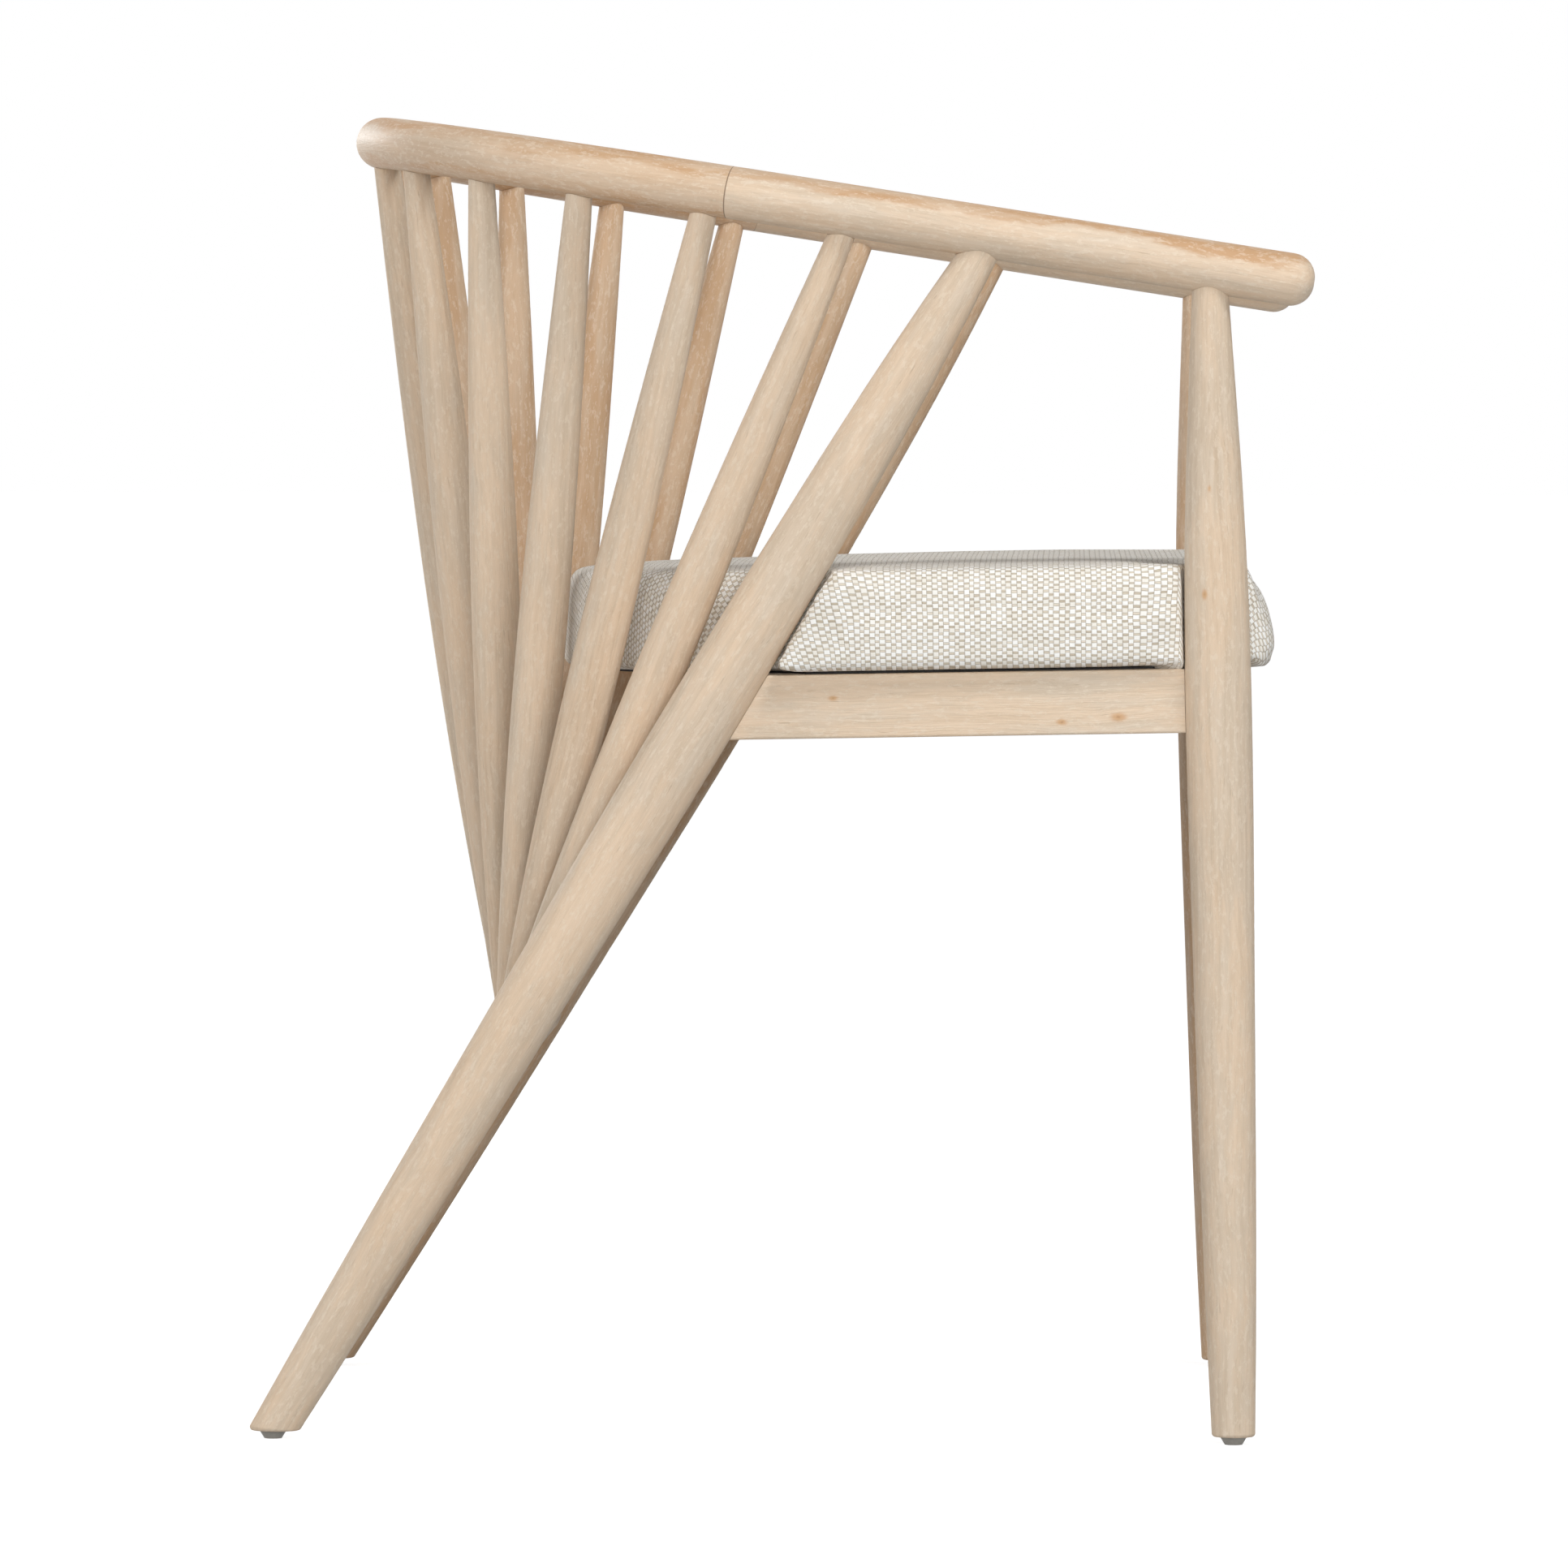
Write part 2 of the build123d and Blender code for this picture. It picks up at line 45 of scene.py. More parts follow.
HOOP_SLOPE = radians(8.7)      # falling towards the front
HOOP_HALF_WIDTH = 0.288
HOOP_DEPTH_STRETCH = 1.068     # makes the hoop's rounded back lie on a circle
ARM_JOINT_ANGLE = radians(12.0)
HOOP_CORNER_RADIUS = 0.2566
SEAT_ORIGIN = Vector((0.0, -0.24895, 0.4428))
SEAT_TILT = radians(1.1)       # falling towards the back
PAD_BOTTOM = 0.0013            # above the top of the seat rails
PAD_TOP = 0.0592
FOAM_BOTTOM = 0.0108


# ---- helpers for shader nodes ---------------------------------------------------------------
def linear(r, g, b):
    """Colour written as 0-255 sRGB, in the linear values that shaders use."""
    out = []
    for c in (r, g, b):
        c /= 255.0
        out.append(c / 12.92 if c <= 0.04045 else ((c + 0.055) / 1.055) ** 2.4)
    return (*out, 1.0)


class Graph:
    """Short ways to add nodes to one tree; any input may be a value or another node's socket."""

    def __init__(self, tree):
        self.tree = tree

    def node(self, kind, inputs=None, **settings):
        made = self.tree.nodes.new(kind)
        for key, value in settings.items():
            setattr(made, key, value)
        for key, value in (inputs or {}).items():
            self.feed(made.inputs[key], value)
        return made

    def feed(self, socket, value):
        if isinstance(value, bpy.types.NodeSocket):
            self.tree.links.new(value, socket)
        elif value is not None:
            socket.default_value = value

    def math(self, operation, a, b=None, c=None, clamp=False):
        made = self.node("ShaderNodeMath", operation=operation, use_clamp=clamp)
        for socket, value in zip(made.inputs, (a, b, c)):
            self.feed(socket, value)
        return made.outputs[0]

    def vector(self, operation, a, b=None, scale=None):
        made = self.node("ShaderNodeVectorMath", operation=operation)
        self.feed(made.inputs[0], a)
        if scale is None:
            self.feed(made.inputs[1], b)
        else:
            self.feed(made.inputs["Scale"], scale)
        return made.outputs["Value" if operation in ("LENGTH", "DISTANCE", "DOT_PRODUCT")
                            else "Vector"]

    def combine(self, x, y, z):
        return self.node("ShaderNodeCombineXYZ", {"X": x, "Y": y, "Z": z}).outputs[0]

    def separate(self, vector):
        return self.node("ShaderNodeSeparateXYZ", {"Vector": vector}).outputs

    def mix(self, share, a, b, blend="MIX"):
        made = self.node("ShaderNodeMix", data_type="RGBA", blend_type=blend)
        self.feed(made.inputs[0], share)
        self.feed(made.inputs[6], a)
        self.feed(made.inputs[7], b)
        return made.outputs[2]

    def remap(self, value, low, high, to_low=0.0, to_high=1.0, smooth=True):
        made = self.node("ShaderNodeMapRange",
                         interpolation_type="SMOOTHSTEP" if smooth else "LINEAR")
        for socket, v in zip(made.inputs, (value, low, high, to_low, to_high)):
            self.feed(socket, v)
        return made.outputs[0]

    def noise(self, vector, stretch, detail=2.0, roughness=0.5, distortion=0.0, shift=None,
              output="Fac"):
        """Noise with about `stretch` marks to a metre in each direction."""
        place = self.vector("MULTIPLY", vector, stretch)
        if shift is not None:
            place = self.vector("ADD", place, shift)
        made = self.node("ShaderNodeTexNoise", {"Vector": place, "Scale": 1.0,
                                                "Detail": detail, "Roughness": roughness,
                                                "Distortion": distortion})
        return made.outputs[output]

    def centred(self, noise, width):
        """A noise's value or colour, moved to lie about zero and made `width` times as wide."""
        if noise.type == "VALUE":
            return self.math("MULTIPLY", self.math("SUBTRACT", noise, 0.5), width)
        apart = self.vector("SUBTRACT", noise, (0.5, 0.5, 0.5))
        return self.vector("MULTIPLY", apart, width)

    def weighted(self, *parts):
        """The sum of some values, each times its own share."""
        total = None
        for value, share in parts:
            part = self.math("MULTIPLY", value, share)
            total = part if total is None else self.math("ADD", total, part)
        return total

    def ramp(self, share, *stops):
        made = self.node("ShaderNodeValToRGB", {"Fac": share})
        ramp = made.color_ramp
        while len(ramp.elements) < len(stops):
            ramp.elements.new(0.5)
        for element, (place, colour) in zip(ramp.elements, stops):
            element.position = place
            element.color = colour
        return made.outputs["Color"]

    def bump(self, height, distance, strength=1.0, normal=None):
        return self.node("ShaderNodeBump", {"Height": height, "Distance": distance,
                                            "Strength": strength, "Normal": normal}).outputs[0]


def new_material(name):
    material = bpy.data.materials.new(name)
    material.use_nodes = True
    tree = material.node_tree
    tree.nodes.clear()
    graph = Graph(tree)
    shader = graph.node("ShaderNodeBsdfPrincipled")
    output = graph.node("ShaderNodeOutputMaterial")
    tree.links.new(shader.outputs[0], output.inputs["Surface"])
    return material, graph, shader


def object_place(graph):
    return graph.node("ShaderNodeTexCoord").outputs["Object"]


def along_axis(graph, start, end, roll=0.0):
    """Coordinates with Z along the line from start to end, and its start at zero."""
    turn = (Vector(end) - Vector(start)).to_track_quat("Z", "Y").to_matrix()
    turn = (turn @ Matrix.Rotation(roll, 3, "Z")).to_euler()
    return graph.node("ShaderNodeMapping", {"Vector": object_place(graph),
                                            "Location": tuple(start), "Rotation": tuple(turn)},
                      vector_type="TEXTURE").outputs[0]


# ---- bleached wood --------------------------------------------------------------------------
WOOD_LIGHT = linear(234, 210, 183)
WOOD_MID = linear(222, 197, 169)
WOOD_DARK = linear(202, 172, 141)
WOOD_WASH = linear(218, 206, 189)
WOOD_GREY = linear(200, 185, 164)
WOOD_PORE = linear(166, 136, 104)
# tan of worn wood, also used as painted shade on the far side's pieces
WOOD_TAN_WEAR_AND_SHADE = linear(196, 154, 112)
WOOD_SPECK = linear(244, 232, 214)
WOOD_JOINT = linear(112, 84, 58)
KNOT_RIM = linear(206, 156, 104)
KNOT_CORE = linear(150, 96, 58)

RING_WIDTH = 0.0052            # one year's growth
RING_WANDER = 0.030            # how much the rings' distance from the heart varies
GRAIN_SWAY = (0.011, 0.011, 0)
WOOD_RELIEF = 0.00022
WOOD_SPECULAR = 0.32
JOINT_LINE = (0.0002, 0.0006)  # half widths of its dark middle and of its faded edge

# Marks in the wood: how many to a metre across and along the grain, the noise's detail and
# roughness, and the part of its values that is used, with what it becomes if not 0 to 1
MARKS = {
    "wander": (9, 1.6, 2.0, 0.5),
    "ring_fade": (30, 3, 1.0, 0.5, 0.35, 0.7),
    "streak": (300, 9, 4.0, 0.65, 0.30, 0.72),
    "fibre": (1300, 34, 2.0, 0.6, 0.3, 0.72),
    "grit": (900, 420, 2.0, 0.7),
    "mottle": (430, 170, 3.0, 0.75, 0.36, 0.66),
    "dash": (560, 62, 3.0, 0.7, 0.40, 0.66),
    "patch": (42, 10, 4.0, 0.65, 0.38, 0.62),
    "broad": (7, 2.2, 2.0, 0.5, 0.38, 0.64),
    "wear_and_shade_patches": (75, 11, 3.0, 0.6, 0.40, 0.62, 0.5, 1.0),
    "pore": (1000, 70, 1.0, 0.5, 0.69, 0.80, 0.0, 0.3),
}

# Where the hoop is tanner: heights over its centre line, along the top where the finish is rubbed
# thin, and along the bottom
TOP_BAND = (0.0055, 0.0105)
LOW_BAND = (-0.0045, -0.0110)
BAND_RAGGED = 0.026            # how far the bands' edges wander up and down
TOP_WORN = 0.95
HOOP_POLISH = 0.16


def wood_group():
    """Node group: grain coordinates (Z along the grain, metres) in; colour, gloss, relief out."""
    tree = bpy.data.node_groups.new("bleached_wood", "ShaderNodeTree")
    face = tree.interface
    for name, kind in (("Vector", "NodeSocketVector"), ("Seed", "NodeSocketFloat"),
                       ("Heart", "NodeSocketVector"), ("Wear_and_shade", "NodeSocketFloat")):
        face.new_socket(name, in_out="INPUT", socket_type=kind)
    for name, kind in (("Color", "NodeSocketColor"), ("Roughness", "NodeSocketFloat"),
                       ("Height", "NodeSocketFloat")):
        face.new_socket(name, in_out="OUTPUT", socket_type=kind)
    graph = Graph(tree)
    given = graph.node("NodeGroupInput").outputs
    shift = graph.combine(given["Seed"], graph.math("MULTIPLY", given["Seed"], 1.7),
                          graph.math("MULTIPLY", given["Seed"], 0.6))
    place = given["Vector"]

    sway = graph.noise(place, (16, 16, 10), 3.0, shift=shift, output="Color")
    place = graph.vector("ADD", place, graph.centred(sway, GRAIN_SWAY))

    def marks(kind):
        across, along, detail, roughness, *limits = MARKS[kind]
        value = graph.noise(place, (across, across, along), detail, roughness, shift=shift)
        return graph.remap(value, *limits) if limits else value

    # growth rings round the heart, darkest in their late wood
    flat = graph.vector("MULTIPLY", graph.vector("SUBTRACT", place, given["Heart"]), (1, 1, 0))
    depth = graph.math("ADD", graph.vector("LENGTH", flat),
                       graph.centred(marks("wander"), RING_WANDER))
    ring = graph.math("FRACT", graph.math("DIVIDE", depth, RING_WIDTH))
    late = graph.math("MULTIPLY", graph.remap(ring, 0.25, 0.88),
                      graph.remap(ring, 0.9, 1.0, 1.0, 0.0))
    late = graph.math("MULTIPLY", late, marks("ring_fade"))

    streak, fibre, mottle, pore = (marks(kind) for kind in ("streak", "fibre", "mottle", "pore"))
    tone = graph.weighted((late, 0.24), (streak, 0.20), (mottle, 0.16), (marks("dash"), 0.22),
                          (fibre, 0.14), (marks("broad"), 0.26))
    colour = graph.ramp(tone, (0.2, WOOD_LIGHT), (0.62, WOOD_MID), (1.0, WOOD_DARK))
    # the bleaching leaves a greyish wash in patches
    wash = graph.math("ADD", graph.math("MULTIPLY", marks("patch"), 0.5), 0.12)
    colour = graph.mix(wash, colour, graph.mix(streak, WOOD_WASH, WOOD_GREY))
    # tan in patches: worn wood, and painted shade on the far side's pieces
    colour = graph.mix(graph.math("MULTIPLY", given["Wear_and_shade"], marks("wear_and_shade_patches")), colour, WOOD_TAN_WEAR_AND_SHADE)
    colour = graph.mix(graph.remap(mottle, 0.55, 1.0, 0.0, 0.30), colour, WOOD_SPECK)
    colour = graph.mix(pore, colour, WOOD_PORE)

    rough = graph.math("ADD", 0.60, graph.math("MULTIPLY", marks("grit"), 0.22))
    height = graph.weighted((streak, -0.35), (fibre, -0.4), (late, 0.3), (pore, -1.2))
    graph.node("NodeGroupOutput", {"Color": colour, "Roughness": rough, "Height": height})
    return tree


WOOD = wood_group()


def add_knot(graph, place, colour, centre, size):
    """A small knot: a ring and a dark core, longer along the grain."""
    apart = graph.vector("SUBTRACT", place, tuple(centre))
    apart = graph.vector("MULTIPLY", apart, (1.0, 1.0, 0.6))
    wobble = graph.centred(graph.noise(place, (400, 400, 400)), size * 0.7)
    reach = graph.math("ADD", graph.vector("LENGTH", apart), wobble)
    rim = graph.remap(reach, size * 0.6, size * 2.4, 0.7, 0.0)
    core = graph.remap(reach, size * 0.1, size * 0.7, 0.35, 0.0)
    colour = graph.mix(rim, colour, KNOT_RIM)
    return graph.mix(core, colour, KNOT_CORE)


def wood_material(name, coordinates, seed, heart=(0.055, 0.02, 0), knots=(), joint_line=None,
                  wear_and_shade=0.0, worn_top=False, low_tan=0.0, polish=0.0):
    """`coordinates` makes the grain coordinates in the new material's tree."""
    material, graph, shader = new_material(name)
    place = coordinates(graph)
    wood = graph.node("ShaderNodeGroup", node_tree=WOOD)
    for socket, value in (("Vector", place), ("Seed", seed), ("Heart", heart), ("Wear_and_shade", wear_and_shade)):
        graph.feed(wood.inputs[socket], value)
    if worn_top:
        # the bleached finish is rubbed thin along the top, and the wood is tanner in places along
        # the bottom
        ragged = graph.noise(place, (42, 42, 15), 5.0, 0.68)
        height = graph.math("ADD", graph.separate(place)[1],
                            graph.centred(ragged, BAND_RAGGED))
        top = graph.remap(height, *TOP_BAND, wear_and_shade, TOP_WORN)
        low = graph.remap(height, *LOW_BAND, 0.0, low_tan)
        graph.feed(wood.inputs["Wear_and_shade"], graph.math("MAXIMUM", top, low))
    colour = wood.outputs["Color"]
    for centre, size in knots:
        colour = add_knot(graph, place, colour, centre, size)
    if joint_line is not None:
        apart = graph.math("SUBTRACT", graph.separate(place)[2], joint_line)
        line = graph.remap(graph.math("ABSOLUTE", apart), *JOINT_LINE, 0.8, 0.0)
        colour = graph.mix(line, colour, WOOD_JOINT)
    graph.feed(shader.inputs["Base Color"], colour)
    graph.feed(shader.inputs["Roughness"],
               graph.math("SUBTRACT", wood.outputs["Roughness"], polish))
    graph.feed(shader.inputs["Normal"], graph.bump(wood.outputs["Height"], WOOD_RELIEF, 0.8))
    shader.inputs["Specular IOR Level"].default_value = WOOD_SPECULAR + polish
    return material


def set_material(node, material):
    slots = NODES[node].data.materials
    slots.clear()
    slots.append(material)
    for polygon in NODES[node].data.polygons:
        polygon.material_index = 0


def hoop_coordinates(graph):
    """Grain that follows the hoop: X across it, Y up, Z along it."""
    local = graph.node("ShaderNodeMapping",
                       {"Vector": object_place(graph),
                        "Location": (0, HOOP_CENTRE_Y, HOOP_HEIGHT),
                        "Rotation": (HOOP_SLOPE, 0, 0)}, vector_type="TEXTURE").outputs[0]
    x, y, z = graph.separate(local)
    back = graph.math("MULTIPLY", graph.math("MAXIMUM", y, 0.0), HOOP_DEPTH_STRETCH)
    across = graph.math("SQRT", graph.math("ADD", graph.math("MULTIPLY", x, x),
                                           graph.math("MULTIPLY", back, back)))
    side = graph.math("SIGN", x)
    arc = graph.math("MULTIPLY", graph.math("ARCTAN2", back, x), HOOP_HALF_WIDTH)
    along = graph.math("ADD", arc, graph.math("MULTIPLY", side, graph.math("MINIMUM", y, 0.0)))
    return graph.combine(graph.math("SUBTRACT", across, HOOP_HALF_WIDTH), z, along)


def arm_point(distance, side):
    y = HOOP_CENTRE_Y - distance * cos(HOOP_SLOPE)
    return Vector((side * HOOP_HALF_WIDTH, y, HOOP_HEIGHT - distance * sin(HOOP_SLOPE)))


def main_direction(node):
    """Middle and main direction of a long thin CAD node, from its own points."""
    points = np.array([v.co for v in NODES[node].data.vertices])
    middle = (points.min(0) + points.max(0)) / 2
    spread = points - points.mean(0)
    direction = np.linalg.svd(spread[:: max(1, len(spread) // 4000)], full_matrices=False)[2][0]
    if abs(direction[2]) > 0.5:
        direction *= np.sign(direction[2])
    else:
        direction *= np.sign(direction[np.argmax(np.abs(direction))])
    return Vector(middle), Vector(direction)


def in_grain(point, middle, direction, roll=0.0):
    """A world point in the coordinates that `along_axis` makes for the same piece."""
    turn = direction.to_track_quat("Z", "Y").to_matrix() @ Matrix.Rotation(roll, 3, "Z")
    return turn.inverted() @ (Vector(point) - middle)


# places and sizes of the small knots, in metres
KNOTS = {
    "side_seat_rail_right": [((-0.2823, -0.1600, 0.4119), 0.0011),
                             ((-0.2830, -0.1922, 0.4148), 0.0016),
                             ((-0.2795, -0.0300, 0.4250), 0.0010)],
    "front_leg_right": [((-0.3013, -0.2404, 0.4850), 0.0011), ((-0.3021, -0.2429, 0.5449), 0.0008),
                        ((-0.3005, -0.2558, 0.5449), 0.0008)],
}


def seed_of(name):
    return sum(ord(letter) * (place + 3) for place, letter in enumerate(name)) % 97 * 1.37


# joint between an arm and the back rail, as a length along the hoop from the left arm's bend
joint_x = (HOOP_HALF_WIDTH - HOOP_CORNER_RADIUS) + HOOP_CORNER_RADIUS * cos(ARM_JOINT_ANGLE)
joint_y = HOOP_CORNER_RADIUS * sin(ARM_JOINT_ANGLE) * HOOP_DEPTH_STRETCH
joint_along = atan2(joint_y, joint_x) * HOOP_HALF_WIDTH

for node, seed, line, wear_and_shade, low_tan in (
        ("arm_left", 3.1, joint_along, 0.08, 0.15),
        ("back_rail", 11.7, None, 0.42, 0.85),
        ("arm_right", 23.9, pi * HOOP_HALF_WIDTH - joint_along, 0.08, 0.15)):
    set_material(node, wood_material(
        node + "_wood", hoop_coordinates, seed, heart=(0.05, -0.03, 0), joint_line=line,
        wear_and_shade=wear_and_shade, worn_top=True, low_tan=low_tan, polish=HOOP_POLISH))


def dress_in_wood(node, heart, roll=0.0, wear_and_shade=0.0):
    """Wood with its grain along the piece, and the piece's own knots."""
    middle, direction = main_direction(node)
    knots = [(in_grain(point, middle, direction, roll), size)
             for point, size in KNOTS.get(node, ())]
    set_material(node, wood_material(
        node + "_wood", lambda graph: along_axis(graph, middle, middle + direction, roll),
        seed_of(node), heart, knots, wear_and_shade=wear_and_shade))


TURNED = ("front_leg", "rear_leg", "spindle", "rear_stretcher")
SAWN = ("side_seat_rail", "front_seat_rail", "rear_seat_rail", "corner_block_front",
        "corner_block_rear")
# painted shade: the far side's pieces get the tan colour of worn wood, standing in for the deeper
# shade they fall in
FAR_SIDE_PAINTED_SHADE = 0.7            # painted shade: the pieces on the far side are made tanner

for node in NODES:
    seed = seed_of(node)
    if node.startswith(TURNED):
        # the far side's pieces get painted shade as tan, the near side's pieces a little tan wear
        dress_in_wood(
            node, heart=(0.05 + 0.012 * sin(seed), 0.01 * cos(seed), 0), roll=seed * 2.1,
            wear_and_shade=FAR_SIDE_PAINTED_SHADE if node.endswith("_left") else 0.06 + 0.05 * sin(seed * 3))
    elif node.startswith(SAWN):
        dress_in_wood(node, heart=(0.03, 0.07, 0))

dowel_middle, _ = main_direction("rail_dowels")
set_material("rail_dowels", wood_material(
    "dowel_wood",
    lambda graph: along_axis(graph, dowel_middle, dowel_middle + Vector((0, 1, 0))), 5.0))


# ---- small parts ----------------------------------------------------------------------------
STEEL_COLOURS = (linear(168, 166, 160), linear(206, 204, 198))
NYLON_COLOURS = (linear(146, 143, 137), linear(164, 161, 154))
NYLON_SCUFFED = linear(112, 108, 101)
SCUFF_HEIGHT = 0.0022          # the glides are scuffed this far up from the floor
NONWOVEN_COLOURS = (linear(24, 23, 22), linear(52, 50, 48))
NONWOVEN_DUSTY = linear(64, 61, 58)
DOT_WAVES = 2600.0             # radians to a metre between the dust cover's dots


def two_tones(graph, share, colours):
    return graph.ramp(share, (0.3, colours[0]), (0.7, colours[1]))


def steel_material():
    material, graph, shader = new_material("zinc_steel")
    place = object_place(graph)
    cloud = graph.noise(place, (260, 260, 260), 3.0)
    fine = graph.noise(place, (2400, 2400, 2400))
    graph.feed(shader.inputs["Base Color"], two_tones(graph, cloud, STEEL_COLOURS))
    graph.feed(shader.inputs["Roughness"], graph.remap(fine, 0.3, 0.7, 0.28, 0.5))
    graph.feed(shader.inputs["Normal"], graph.bump(fine, 0.00005, 0.5))
    shader.inputs["Metallic"].default_value = 1.0
    return material


def glide_material():
    material, graph, shader = new_material("grey_nylon")
    place = object_place(graph)
    cloud = graph.noise(place, (120, 120, 240), 3.0)
    scuff = graph.noise(place, (1500, 1500, 300), 3.0, 0.6)
    low = graph.remap(graph.separate(place)[2], 0.0, SCUFF_HEIGHT, 0.7, 0.0)
    scuffed = graph.math("MULTIPLY", graph.remap(scuff, 0.45, 0.7), low)
    graph.feed(shader.inputs["Base Color"],
               graph.mix(scuffed, two_tones(graph, cloud, NYLON_COLOURS), NYLON_SCUFFED))
    graph.feed(shader.inputs["Roughness"], graph.remap(scuff, 0.3, 0.7, 0.42, 0.62))
    graph.feed(shader.inputs["Normal"], graph.bump(scuff, 0.00008, 0.5))
    return material


def dust_cover_material():
    """Black non-woven cloth with its small embossed dots."""
    material, graph, shader = new_material("black_nonwoven")
    place = object_place(graph)
    x, y, _ = graph.separate(place)
    wave_x, wave_y = (graph.math("SINE", graph.math("MULTIPLY", value, DOT_WAVES))
                      for value in (x, y))
    dots = graph.math("MULTIPLY", wave_x, wave_y)
    fibres = graph.noise(place, (900, 900, 900), 4.0, 0.7, 1.5)
    dust = graph.math("MULTIPLY", graph.noise(place, (30, 30, 30), 3.0), 0.3)
    graph.feed(shader.inputs["Base Color"],
               graph.mix(dust, two_tones(graph, fibres, NONWOVEN_COLOURS), NONWOVEN_DUSTY))
    graph.feed(shader.inputs["Roughness"], graph.remap(fibres, 0.3, 0.7, 0.75, 0.95))
    height = graph.math("ADD", fibres, graph.math("MULTIPLY", dots, 0.4))
    graph.feed(shader.inputs["Normal"], graph.bump(height, 0.0002, 0.8))
    return material


steel = steel_material()
glide_nylon = glide_material()
for node in ("corner_block_screws", "seat_screws"):
    set_material(node, steel)
for node in ("glide_front_left", "glide_front_right", "glide_rear_left", "glide_rear_right"):
    set_material(node, glide_nylon)
set_material("dust_cover", dust_cover_material())


# ---- seat cushion ---------------------------------------------------------------------------
TINY = 1e-9                    # keeps divisions safe
SEAT_TO_WORLD = Matrix.Translation(SEAT_ORIGIN) @ Matrix.Rotation(-SEAT_TILT, 4, "X")
VOXEL = 0.0042
PULL_IN = 0.0016               # how much smaller than the CAD pad the cushion starts
LEG_REACH = 0.0065             # how much further it reaches round the legs
LEG_DRAW = 0.0032              # how far its sides are drawn in at the legs
FRONT_ROUND = (0.033, 0.044)   # depth in plan and height of the top edge's rounding
SIDE_ROUND = (0.012, 0.014)
NOTCH_ROUND = (0.003, 0.004)
NOTCH_WIDTH = (0.026, 0.046)   # round a leg's centre line: all notch within, none beyond
BACK_REACH = 0.004             # the back edge is fuller than the CAD pad's
FRONT_TUCK = 0.011             # rounding of the bottom edge
SIDE_TUCK = 0.0045
NOTCH_TUCK_SHARE = 0.2
EDGE_WIDTH = 0.03              # how far in the edge's pulling in and lifting reach
SIDE_LIFT = 0.0004             # the bottom edge stands this far off the rails, and
LEG_LIFT = 0.0011              # this much further off them beside the front legs,
LEG_LIFT_REACH = (0.005, 0.07)  # which is from so far before them to so far behind
FRONT_SAG = 0.0026             # how far the padding hangs below the board at the front
CROWN = 0.0025
CROWN_REACH = 0.16             # how far in from the edge the crown is at its full height
SWELL_CAP = 0.001
SWELL_FRAMES = 20
HELD_HEIGHT = 0.0022           # the swelling leaves what is lower than this over the bottom
FACING_SPREAD = 0.030          # how far along the edge the cloth's direction is evened out,
FACING_SAMPLES = 700           # from about so many points of the edge that are
FACING_LEG_GAP = 0.030         # at least this far from the legs' centre lines
SIDE_STEEPNESS = 0.35          # a point is on a side if its normal rises less than this
SIDE_BAND = 0.02               # and it is at most this far from half the pad's height
LEG_RADII = (0.0189, 0.0205)   # front and rear legs where they are fattest
LEG_FEET = ((0.2736, -0.2593), (0.2595, 0.2926))
LEG_TOPS = (0.222, 0.097)      # lengths along an arm from its bend to the legs' tops
LEG_CLEARANCE = 0.0007
SLIDE_SHARE = 0.94             # of the way to the leg, so that the pad only just meets it
SLIDE_FADE = 0.03              # the slide fades out over this beyond LEG_REACH
DRAW_LENGTH = 0.009            # how long the drawn-in stretch of a side is, at a leg


def mesh_arrays(mesh):
    points = np.empty(len(mesh.vertices) * 3)
    normals = np.empty(len(mesh.vertices) * 3)
    mesh.vertices.foreach_get("co", points)
    mesh.vertices.foreach_get("normal", normals)
    return points.reshape(-1, 3), normals.reshape(-1, 3)


def set_points(mesh, points):
    mesh.vertices.foreach_set("co", points.ravel())
    mesh.update()


def baked(obj):
    """The object's mesh with its modifiers applied."""
    depsgraph = bpy.context.evaluated_depsgraph_get()
    mesh = bpy.data.meshes.new_from_object(obj.evaluated_get(depsgraph))
    obj.modifiers.clear()
    obj.data = mesh
    return mesh


def smooth_step(x):
    x = np.clip(x, 0.0, 1.0)
    return x * x * (3 - 2 * x)


def quarter(inside, reach):
    """1 at `reach` or more inside an edge, falling along a quarter circle to 0 at the edge."""
    t = 1 - np.clip(inside / reach, 0.0, 1.0)
    return np.sqrt(np.clip(1 - t * t, 0.0, 1.0))


def from_line(points, line):
    """The line's direction, and how each seat-frame point stands off it, square to it."""
    start, end = (np.array(point) for point in line)
    way = (end - start) / np.linalg.norm(end - start)
    apart = points - start
    return way, apart - np.outer(apart @ way, way)


def leg_gap(points, line):
    """Distance in metres of seat-frame points from a leg's centre line."""
    return np.linalg.norm(from_line(points, line)[1], axis=1)


def seat_leg_lines():
    """Each leg's centre line in the seat's frame, and its radius."""
    to_seat = SEAT_TO_WORLD.inverted()
    lines = []
    for side in (1, -1):
        for radius, (x, y), top in zip(LEG_RADII, LEG_FEET, LEG_TOPS):
            foot = to_seat @ Vector((side * x, y, 0))
            lines.append(((foot, to_seat @ arm_point(top, side)), radius))
    return lines


